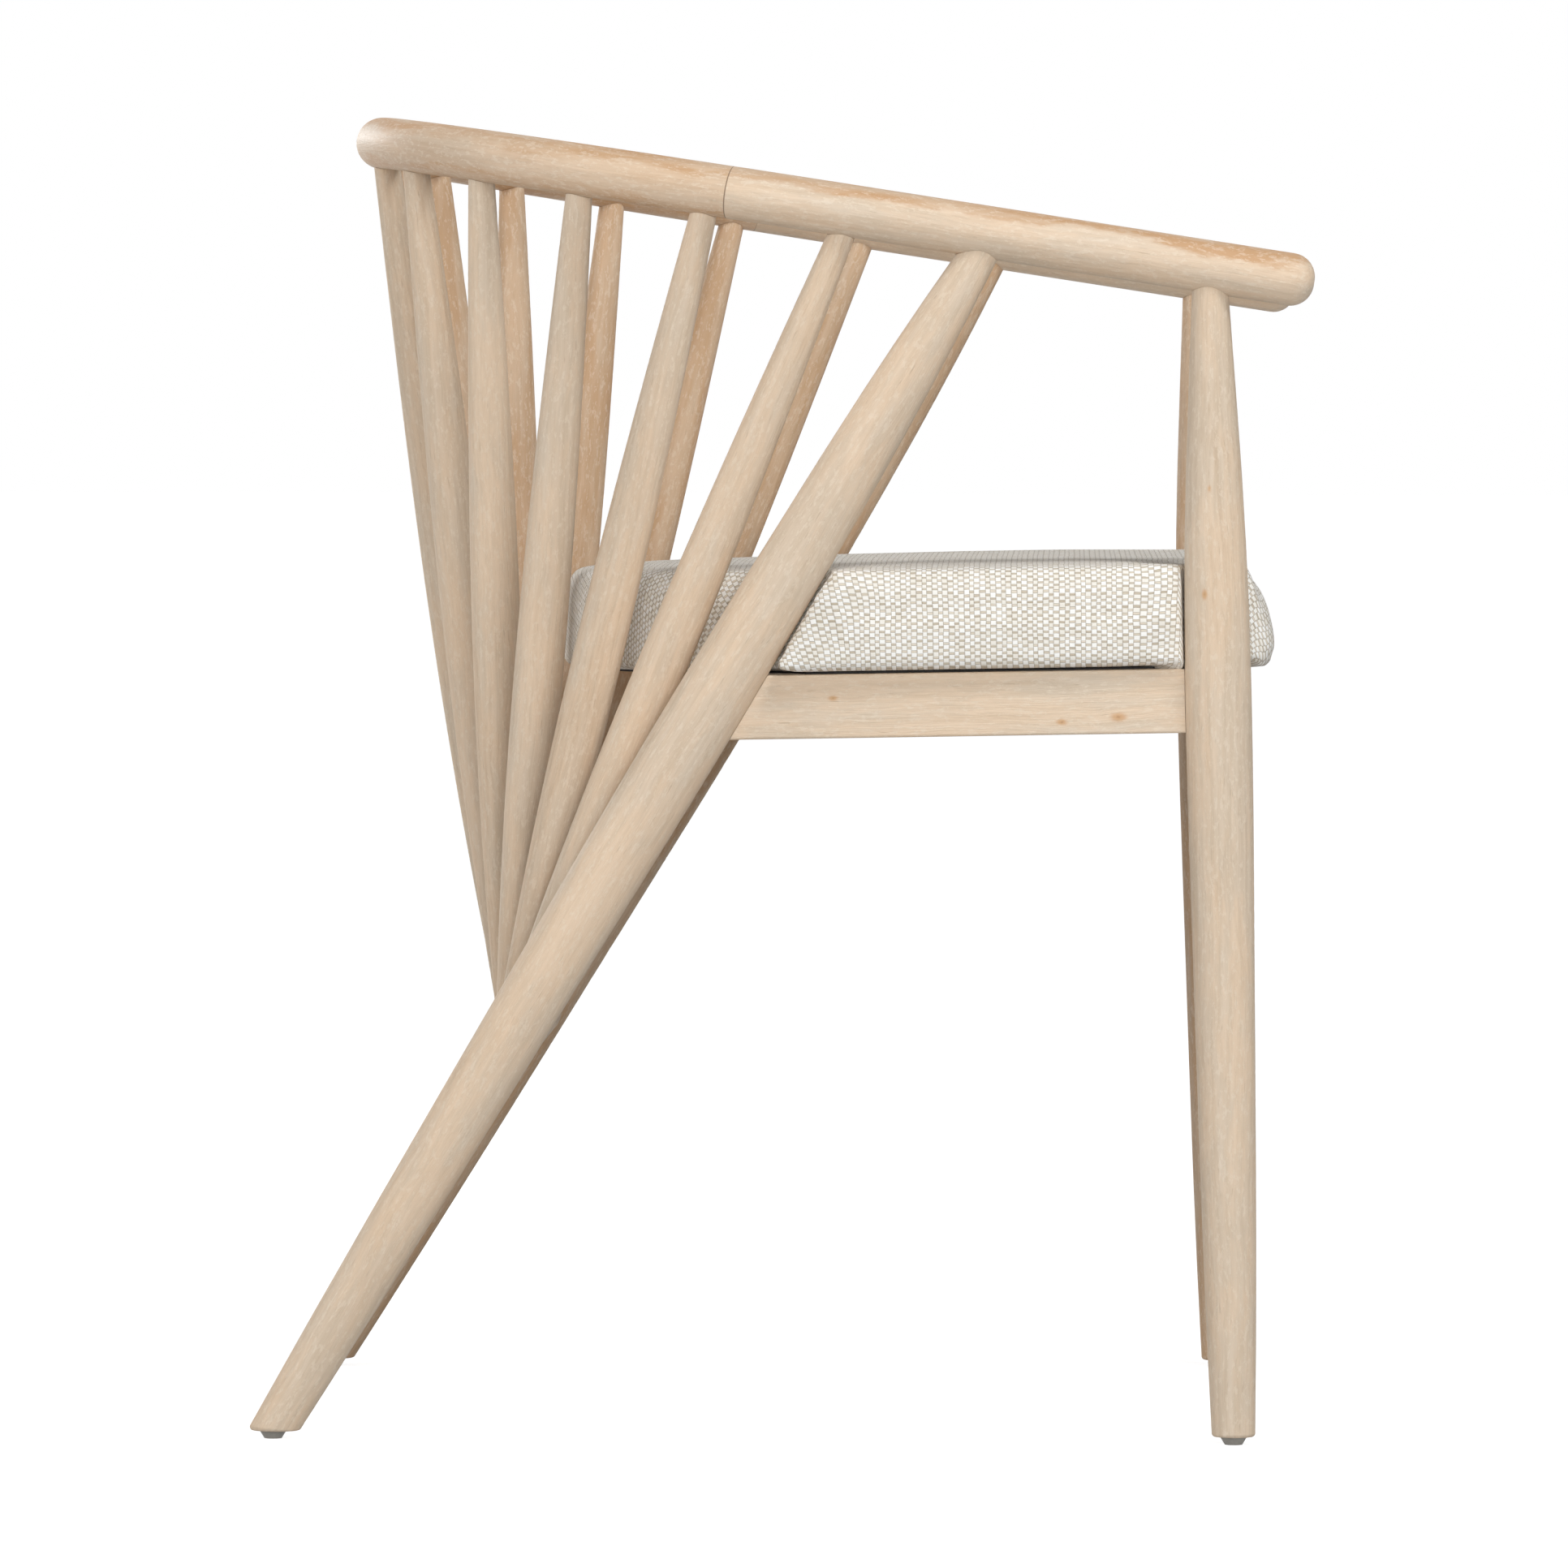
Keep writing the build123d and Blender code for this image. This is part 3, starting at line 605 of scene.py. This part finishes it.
def close_on_legs(points):
    """Slides the pad along to each leg, where its sides are drawn in a little."""
    for line, radius in seat_leg_lines():
        outer = np.sign(line[0][0])
        reach = radius + LEG_CLEARANCE
        way, apart = from_line(points, line)
        outboard = apart[:, 0] * outer
        # the way to slide: level, and along the side where a point is outboard of the leg
        toward = -apart * (1, 1, 0)
        toward[:, 0] *= smooth_step((0.004 - outboard) / 0.012)
        toward /= np.maximum(np.linalg.norm(toward, axis=1, keepdims=True), TINY)
        # how far that way the leg's surface is, from the quadratic for a line and a cylinder
        across = toward - np.outer(toward @ way, way)
        square = np.maximum((across ** 2).sum(1), TINY)
        half = (apart * across).sum(1)
        beyond = (apart ** 2).sum(1) - reach ** 2
        root = half ** 2 - square * beyond
        slide = (-half - np.sqrt(np.maximum(root, 0.0))) / square
        meets = (beyond > 0) & (root > 0) & (slide > 0)
        near = SLIDE_SHARE * np.minimum(slide, LEG_REACH)
        near *= smooth_step(1 - (slide - LEG_REACH) / SLIDE_FADE)
        points += toward * np.where(meets, near, 0.0)[:, None]
        closeness = np.clip(1 - np.maximum(slide - near, 0.0) / DRAW_LENGTH, 0.0, 1.0)
        drawn = LEG_DRAW * closeness ** 2 * smooth_step(outboard / 0.005)
        points[:, 0] -= outer * np.where(meets, drawn, 0.0)

        # what is still inside the leg goes straight out of it
        _, apart = from_line(points, line)
        distance = np.maximum(np.linalg.norm(apart, axis=1), 1e-6)
        points += apart * (np.maximum(reach - distance, 0.0) / distance)[:, None]
    return points


def rounding_length(inside, depth, drop):
    """Length over a quarter ellipse, from where the rounding starts to `inside` the edge."""
    turned = np.arcsin(1 - np.clip(inside / depth, 0.0, 1.0))
    steps = 16
    length = np.zeros(len(inside))
    for step in range(steps):
        angle = turned * (step + 0.5) / steps
        length += np.hypot(depth * np.cos(angle), drop * np.sin(angle)) * turned / steps
    return length


def broad_facing(points, edge_points, edge_facing):
    """Which way the nearest part of the edge faces, evened out along the edge."""
    out = np.empty((len(points), 2))
    batch = 4000
    for first in range(0, len(points), batch):
        some = points[first:first + batch, None, :2]
        apart = ((some - edge_points[None, :, :2]) ** 2).sum(2)
        way = np.exp(-apart / (2 * FACING_SPREAD ** 2)) @ edge_facing + 1e-12
        out[first:first + batch] = way / np.linalg.norm(way, axis=1, keepdims=True)
    return out


def start_cushion():
    """The CAD foam in the seat's frame, evenly meshed and down to the cover's underside."""
    mesh = NODES["seat_foam"].data.copy()
    cushion = bpy.data.objects.new("seat_cushion", mesh)
    bpy.context.scene.collection.objects.link(cushion)
    mesh.transform(SEAT_TO_WORLD.inverted())
    builder = bmesh.new()
    builder.from_mesh(mesh)
    bmesh.ops.remove_doubles(builder, verts=builder.verts, dist=1e-6)
    builder.to_mesh(mesh)
    builder.free()
    points, _ = mesh_arrays(mesh)
    share = (points[:, 2] - FOAM_BOTTOM) / (PAD_TOP - FOAM_BOTTOM)
    points[:, 2] = PAD_BOTTOM + share * (PAD_TOP - PAD_BOTTOM)
    set_points(mesh, points)
    mesh.materials.clear()

    remesh = cushion.modifiers.new("remesh", "REMESH")
    remesh.mode = "VOXEL"
    remesh.voxel_size = VOXEL
    remesh.use_smooth_shade = True
    return cushion, baked(cushion)


def edge_field(points, normals):
    """How far inside the pad's outline each point is, which way the nearest side faces, and
    the numbers of the points that are on the sides."""
    from_middle = np.abs(points[:, 2] - (PAD_BOTTOM + PAD_TOP) / 2)
    steep = np.abs(normals[:, 2]) < SIDE_STEEPNESS
    on_side = np.where(steep & (from_middle < SIDE_BAND))[0]
    tree = KDTree(len(on_side))
    for place, index in enumerate(on_side):
        tree.insert((points[index, 0], points[index, 1], 0.0), place)
    tree.balance()
    inside = np.empty(len(points))
    facing = np.empty((len(points), 2))
    for index, (x, y, _) in enumerate(points):
        near = tree.find_n((x, y, 0.0), 6)
        weights = np.array([1 / (distance + 0.002) for _, _, distance in near])
        rows = on_side[[place for _, place, _ in near]]
        way = (normals[rows, :2] * weights[:, None]).sum(0)
        way /= max(np.linalg.norm(way), TINY)
        if near[0][2] < 2.5 * VOXEL:
            # close to the edge, measured square to it
            inside[index] = ((points[rows, :2] - (x, y)) @ way * weights).sum() / weights.sum()
        else:
            inside[index] = near[0][2]
        facing[index] = way
    return np.maximum(inside, 0.0), facing, on_side


def cloth_places(points, normals, on_side, inside, depth, drop, notch, height):
    """Cloth coordinates: the plan on top, carried over the edge and down the sides."""
    full = PAD_TOP - PAD_BOTTOM
    leg_gaps = [leg_gap(points[on_side], line) for line, _ in seat_leg_lines()]
    sample = on_side[np.min(leg_gaps, axis=0) > FACING_LEG_GAP]
    sample = sample[:: max(1, len(sample) // FACING_SAMPLES)]
    broad = broad_facing(points, points[sample], normals[sample, :2])
    # over the rounding and down the side; the rows go on level where a leg's notch has less
    # rounding than the rest of the side
    over = rounding_length(inside, depth, drop) - np.maximum(depth - inside, 0.0)
    over += np.maximum(full - drop * (1 - quarter(inside, depth)) - height, 0.0)
    spare = rounding_length(np.zeros(len(points)), depth, drop) - depth
    down_notch = np.maximum(spare + full - drop - height, 0.0)
    over = over * (1 - notch) + down_notch * notch
    cloth = np.zeros((len(points), 3))
    cloth[:, :2] = points[:, :2] + broad * over[:, None]
    return cloth


def make_cushion():
    cushion, mesh = start_cushion()
    points, normals = mesh_arrays(mesh)
    inside, facing, on_side = edge_field(points, normals)

    # how much each point belongs to the front edge, the back edge and a leg's notch
    forward = smooth_step((-facing[:, 1] - 0.35) / 0.5)
    backward = smooth_step((facing[:, 1] - 0.1) / 0.5)
    notch = np.zeros(len(points))
    for line, _ in seat_leg_lines():
        in_notch = (NOTCH_WIDTH[1] - leg_gap(points, line)) / (NOTCH_WIDTH[1] - NOTCH_WIDTH[0])
        notch = np.maximum(notch, smooth_step(in_notch))

    plain_depth = SIDE_ROUND[0] + (FRONT_ROUND[0] - SIDE_ROUND[0]) * forward
    plain_drop = SIDE_ROUND[1] + (FRONT_ROUND[1] - SIDE_ROUND[1]) * forward
    depth = plain_depth + (NOTCH_ROUND[0] - plain_depth) * notch
    drop = plain_drop + (NOTCH_ROUND[1] - plain_drop) * notch
    full = PAD_TOP - PAD_BOTTOM
    share = (points[:, 2] - PAD_BOTTOM) / full
    height = share * (full - drop * (1 - quarter(inside, depth)))
    tuck = SIDE_TUCK + (FRONT_TUCK - SIDE_TUCK) * forward
    tuck *= 1 - (1 - NOTCH_TUCK_SHARE) * notch
    pull = tuck * (1 - quarter(height, tuck))
    pull += (PULL_IN * (1 - forward) - BACK_REACH * backward) * (1 - notch)

    layer = mesh.attributes.new("cloth", "FLOAT_VECTOR", "POINT")
    layer.data.foreach_set("vector", cloth_places(
        points, normals, on_side, inside, plain_depth, plain_drop, notch, height).ravel())

    edge = smooth_step(1 - inside / EDGE_WIDTH)
    points[:, :2] -= facing * (pull * edge)[:, None]
    before, behind = LEG_LIFT_REACH
    by_leg = smooth_step(1 - points[:, 1] / behind) * smooth_step(points[:, 1] / before + 1)
    lift = (SIDE_LIFT + LEG_LIFT * by_leg) * (1 - forward) - FRONT_SAG * forward
    points[:, 2] = PAD_BOTTOM + height + lift * edge * smooth_step(1 - share / 0.5)
    crown = CROWN * smooth_step(inside / CROWN_REACH)
    points[:, 2] += crown * smooth_step((share - 0.5) / 0.5)
    set_points(mesh, points)

    swell(cushion, points)
    points, _ = mesh_arrays(cushion.data)
    set_points(cushion.data, close_on_legs(points))
    divide = cushion.modifiers.new("divide", "SUBSURF")
    divide.levels = divide.render_levels = 1
    mesh = baked(cushion)
    for polygon in mesh.polygons:
        polygon.use_smooth = True
    mesh.transform(SEAT_TO_WORLD)
    return cushion


def swell(cushion, start):
    """Blows the pad up a little as cloth, held where it rests on the board."""
    held = cushion.vertex_groups.new(name="held")
    low = np.where(start[:, 2] < PAD_BOTTOM + HELD_HEIGHT)[0]
    held.add([int(index) for index in low], 1.0, "REPLACE")
    cloth = cushion.modifiers.new("cloth", "CLOTH")
    settings = cloth.settings
    settings.quality = 5
    settings.mass = 0.3
    settings.tension_stiffness = 40
    settings.compression_stiffness = 40
    settings.shear_stiffness = 20
    settings.bending_stiffness = 4
    settings.use_pressure = True
    settings.uniform_pressure_force = 4
    settings.vertex_group_mass = "held"
    settings.effector_weights.gravity = 0
    cloth.collision_settings.use_collision = False
    scene = bpy.context.scene
    for number in range(1, SWELL_FRAMES + 1):
        scene.frame_set(number)
    mesh = baked(cushion)
    points, _ = mesh_arrays(mesh)
    moved = points - start
    size = np.linalg.norm(moved, axis=1, keepdims=True)
    moved *= SWELL_CAP * np.tanh(size / SWELL_CAP) / np.maximum(size, TINY)
    set_points(mesh, start + moved)
    scene.frame_set(1)


# ---- woven cloth ----------------------------------------------------------------------------
WARP_LIGHT = linear(255, 255, 253)
WARP_SHADE = linear(238, 233, 222)
WEFT_LIGHT = linear(245, 237, 224)
WEFT_DARK = linear(210, 196, 173)
# painted shade: the dark colour in the gaps between the threads
WEAVE_GAP_PAINTED_SHADE = linear(146, 131, 110)
WARP_STEP = 0.0030
WEFT_STEP = 0.00196
WARP_SHARE = 0.70              # of each pair of rows, where the warp is on top
WARP_UNEVEN = -0.10            # how much the warp's widths vary, in steps
CLOTH_WOBBLE = 0.0022
CLOTH_RELIEF = 0.0003


def cloth_material():
    material, graph, shader = new_material("woven_cloth")
    local = object_place(graph)
    draped = graph.node("ShaderNodeAttribute", attribute_name="cloth").outputs["Vector"]
    wobble = graph.centred(graph.noise(local, (45, 45, 45), 3.0, output="Color"),
                           (CLOTH_WOBBLE, CLOTH_WOBBLE, CLOTH_WOBBLE))
    draped = graph.vector("ADD", draped, wobble)
    s, t, _ = graph.separate(draped)

    # every third warp thread is thinner; two rows of weft make one step of the phase
    warp = graph.math("DIVIDE", t, WARP_STEP)
    thirds = graph.math("SINE", graph.math("MULTIPLY", warp, 2 * pi / 3))
    warp = graph.math("ADD", warp, graph.math("MULTIPLY", thirds, WARP_UNEVEN))
    warp_number = graph.math("FLOOR", warp)
    in_warp = graph.math("SUBTRACT", warp, warp_number)
    rows = graph.math("DIVIDE", s, WEFT_STEP)
    half_turn = graph.math("MULTIPLY", graph.math("ADD", rows, warp_number), 0.5)
    phase = graph.math("SUBTRACT", half_turn, graph.math("FLOOR", half_turn))
    row_number = graph.math("FLOOR", rows)

    into_weft = graph.math("SUBTRACT", phase, WARP_SHARE)
    is_warp = graph.remap(into_weft, -0.03, 0.03, 1.0, 0.0)
    ends = graph.math("MINIMUM", graph.math("ABSOLUTE", into_weft),
                      graph.math("MINIMUM", phase, graph.math("SUBTRACT", 1.0, phase)))
    sides = graph.math("MINIMUM", in_warp, graph.math("SUBTRACT", 1.0, in_warp))

    cell = graph.node("ShaderNodeTexWhiteNoise",
                      {"Vector": graph.combine(warp_number, graph.math("FLOOR", half_turn), 3.0)},
                      noise_dimensions="3D").outputs["Value"]
    thread = graph.node("ShaderNodeTexWhiteNoise", {"W": row_number},
                        noise_dimensions="1D").outputs["Value"]
    slub = graph.noise(graph.combine(t, s, 0.0), (70, 500, 1), 2.0, 0.6)
    fuzz = graph.noise(local, (2200, 2200, 2200), 3.0, 0.7)

    weft_tone = graph.weighted((thread, 0.25), (slub, 0.45), (cell, 0.35))
    weft_colour = graph.mix(weft_tone, WEFT_LIGHT, WEFT_DARK)
    # the weft is two strands side by side, with painted shade in the line between them
    strand = graph.math("ABSOLUTE", graph.math("SUBTRACT", phase, (1 + WARP_SHARE) / 2))
    strand_gap_shade = graph.math("MULTIPLY", graph.remap(strand, 0.015, 0.06, 1.0, 0.0),
                       graph.remap(cell, 0.2, 0.9, 0.1, 0.7))
    weft_colour = graph.mix(strand_gap_shade, weft_colour, WEAVE_GAP_PAINTED_SHADE)
    warp_tone = graph.weighted((graph.math("POWER", cell, 1.6), 0.75), (fuzz, 0.2))
    warp_colour = graph.mix(warp_tone, WARP_LIGHT, WARP_SHADE)
    colour = graph.mix(is_warp, weft_colour, warp_colour)
    # painted shade in the gaps at the threads' ends and sides
    end_gap_shade = graph.math("MULTIPLY", graph.remap(ends, 0.015, 0.055, 1.0, 0.0),
                         graph.remap(slub, 0.3, 0.7, 0.45, 0.95))
    side_gap_shade = graph.remap(sides, 0.03, 0.13, 0.5, 0.0)
    colour = graph.mix(graph.math("MAXIMUM", end_gap_shade, side_gap_shade), colour, WEAVE_GAP_PAINTED_SHADE)
    graph.feed(shader.inputs["Base Color"], colour)
    graph.feed(shader.inputs["Roughness"], graph.remap(fuzz, 0.3, 0.7, 0.82, 0.95))

    raised = graph.math("MULTIPLY", graph.remap(ends, 0.0, 0.09), graph.remap(sides, 0.0, 0.16))
    height = graph.math("ADD", raised, graph.math("MULTIPLY", fuzz, 0.2))
    graph.feed(shader.inputs["Normal"], graph.bump(height, CLOTH_RELIEF, 0.5))
    shader.inputs["Sheen Weight"].default_value = 0.06
    shader.inputs["Sheen Roughness"].default_value = 0.5
    shader.inputs["Specular IOR Level"].default_value = 0.2
    return material


cushion = make_cushion()
cushion.data.materials.clear()
cushion.data.materials.append(cloth_material())
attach(cushion, "root")
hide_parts("seat_cover", "seat_foam", "seat_board")


# ---- floor, light and camera ----------------------------------------------------------------
FLOOR_HALF_WIDTH = 60.0
FLOOR_GREYS = ((0.50, 0.50, 0.50, 1), (0.53, 0.53, 0.53, 1))
FLOOR_GLOW_RADII = (1.5, 4.5)  # between these the floor's own light goes up
FLOOR_GLOW = (0.86, 1.0)
WHITE = (1, 1, 1, 1)
WORLD_DIM = 0.05

# where each lamp is, where it aims, its width and height, and its power in watts
LAMPS = {
    "key": ((-1.7, -1.5, 3.6), (0, 0, 0.5), (0.9, 0.9), 66),
    "fill": ((-4.7, -1.5, 1.6), (0, 0, 0.45), (1.8, 1.8), 66),
    "fill_low": ((-5.2, -0.2, 0.9), (0, 0, 0.4), (1.6, 1.2), 60),
    "rear": ((-0.9, 3.6, 1.6), (0, 0, 0.5), (1.6, 1.6), 48),
    "rear_top": ((-2.0, 1.8, 3.2), (0, 0, 0.5), (1.2, 1.2), 8),
    "rim": ((2.6, 1.8, 1.25), (0, 0.28, 0.74), (0.7, 0.7), 24),
}

CAMERA_PLACE = (-7.164, -0.1666, 0.6027)
CAMERA_TURN = radians(-90 + 1.369)  # nearly square to the chair's right side
CAMERA_TILT = radians(90 - 1.885)   # a little down
CAMERA_ROLL = radians(0.147)
CAMERA_LENS = 278.0
SENSOR_WIDTH = 36.0


def white_ray_share(graph):
    """1 for rays straight from the camera, and for those mirrored or let through."""
    rays = graph.node("ShaderNodeLightPath").outputs
    share = graph.math("MAXIMUM", rays["Is Camera Ray"], rays["Is Glossy Ray"])
    return graph.math("MAXIMUM", share, rays["Is Transmission Ray"])


def make_floor():
    mesh = bpy.data.meshes.new("floor")
    far = FLOOR_HALF_WIDTH
    mesh.from_pydata([(-far, -far, 0), (far, -far, 0), (far, far, 0), (-far, far, 0)],
                     [], [(0, 1, 2, 3)])
    floor = bpy.data.objects.new("floor", mesh)
    bpy.context.scene.collection.objects.link(floor)
    material = bpy.data.materials.new("white_floor")
    material.use_nodes = True
    graph = Graph(material.node_tree)
    graph.tree.nodes.clear()
    place = object_place(graph)
    mottle = graph.noise(place, (3, 3, 3))
    diffuse = graph.node("ShaderNodeBsdfDiffuse",
                         {"Color": two_tones(graph, mottle, FLOOR_GREYS)})
    level = graph.remap(graph.vector("LENGTH", place), *FLOOR_GLOW_RADII, *FLOOR_GLOW)
    glow = graph.node("ShaderNodeEmission",
                      {"Strength": graph.math("MULTIPLY", white_ray_share(graph), level)})
    both = graph.node("ShaderNodeAddShader")
    graph.feed(both.inputs[0], diffuse.outputs[0])
    graph.feed(both.inputs[1], glow.outputs[0])
    output = graph.node("ShaderNodeOutputMaterial")
    graph.feed(output.inputs["Surface"], both.outputs[0])
    mesh.materials.append(material)


def make_world():
    world = bpy.data.worlds.new("studio")
    world.use_nodes = True
    graph = Graph(world.node_tree)
    graph.tree.nodes.clear()
    share = white_ray_share(graph)
    dim = graph.node("ShaderNodeBackground", {"Color": WHITE, "Strength": WORLD_DIM})
    white = graph.node("ShaderNodeBackground", {"Color": WHITE, "Strength": 1.0})
    mixed = graph.node("ShaderNodeMixShader", {0: share})
    graph.feed(mixed.inputs[1], dim.outputs[0])
    graph.feed(mixed.inputs[2], white.outputs[0])
    output = graph.node("ShaderNodeOutputWorld")
    graph.feed(output.inputs["Surface"], mixed.outputs[0])
    bpy.context.scene.world = world


def area_light(name, place, aim, size, power):
    data = bpy.data.lights.new(name, "AREA")
    data.shape = "RECTANGLE"
    data.size, data.size_y = size
    data.energy = power
    light = bpy.data.objects.new(name, data)
    light.location = place
    light.rotation_euler = (Vector(aim) - Vector(place)).to_track_quat("-Z", "Y").to_euler()
    bpy.context.scene.collection.objects.link(light)


def make_camera():
    data = bpy.data.cameras.new("camera")
    data.sensor_width = SENSOR_WIDTH
    data.lens = CAMERA_LENS
    data.clip_end = 200.0
    camera = bpy.data.objects.new("camera", data)
    turn = (Matrix.Rotation(CAMERA_TURN, 4, "Z") @ Matrix.Rotation(CAMERA_TILT, 4, "X")
            @ Matrix.Rotation(CAMERA_ROLL, 4, "Z"))
    camera.matrix_world = Matrix.Translation(CAMERA_PLACE) @ turn
    bpy.context.scene.collection.objects.link(camera)
    bpy.context.scene.camera = camera


make_floor()
make_world()
for name, (place, aim, size, power) in LAMPS.items():
    area_light(name, place, aim, size, power)
make_camera()
bpy.context.scene.view_settings.view_transform = "Standard"
